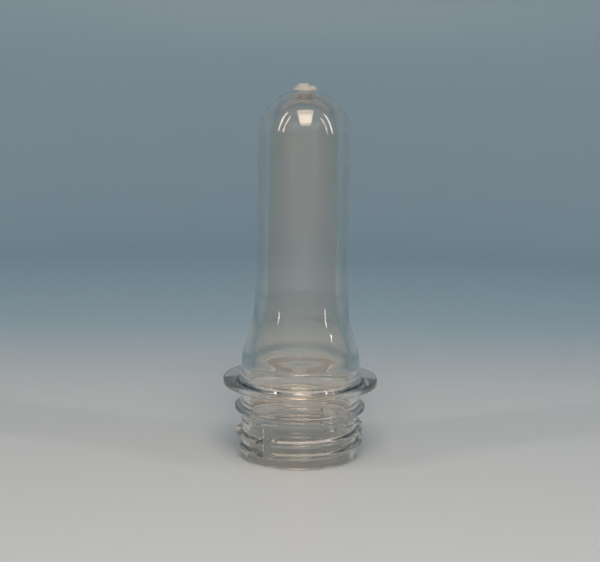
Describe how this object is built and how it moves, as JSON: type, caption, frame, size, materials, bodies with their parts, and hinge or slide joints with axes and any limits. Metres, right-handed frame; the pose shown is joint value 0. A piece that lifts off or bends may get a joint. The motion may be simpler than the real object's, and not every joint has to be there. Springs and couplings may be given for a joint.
{
  "type": "pet bottle preform",
  "caption": "Clear moulded bottle preform: threaded neck with bead and support ledge, tapered shoulder, straight tube body and domed closed end with gate stub.",
  "frame": {"origin": "centre of the sealing rim, on the surface that the preform stands on mouth down", "axes": "+Z along the preform's axis from the mouth to the closed end; X through the pair of thread vents that lie near its two sides, -Y towards the third"},
  "size_m": [0.033, 0.033, 0.0792],
  "materials": {
    "clear_pet": "clear, polished moulded PET"
  },
  "bodies": {
    "root": {"preform": "clear_pet"}
  },
  "joints": []
}
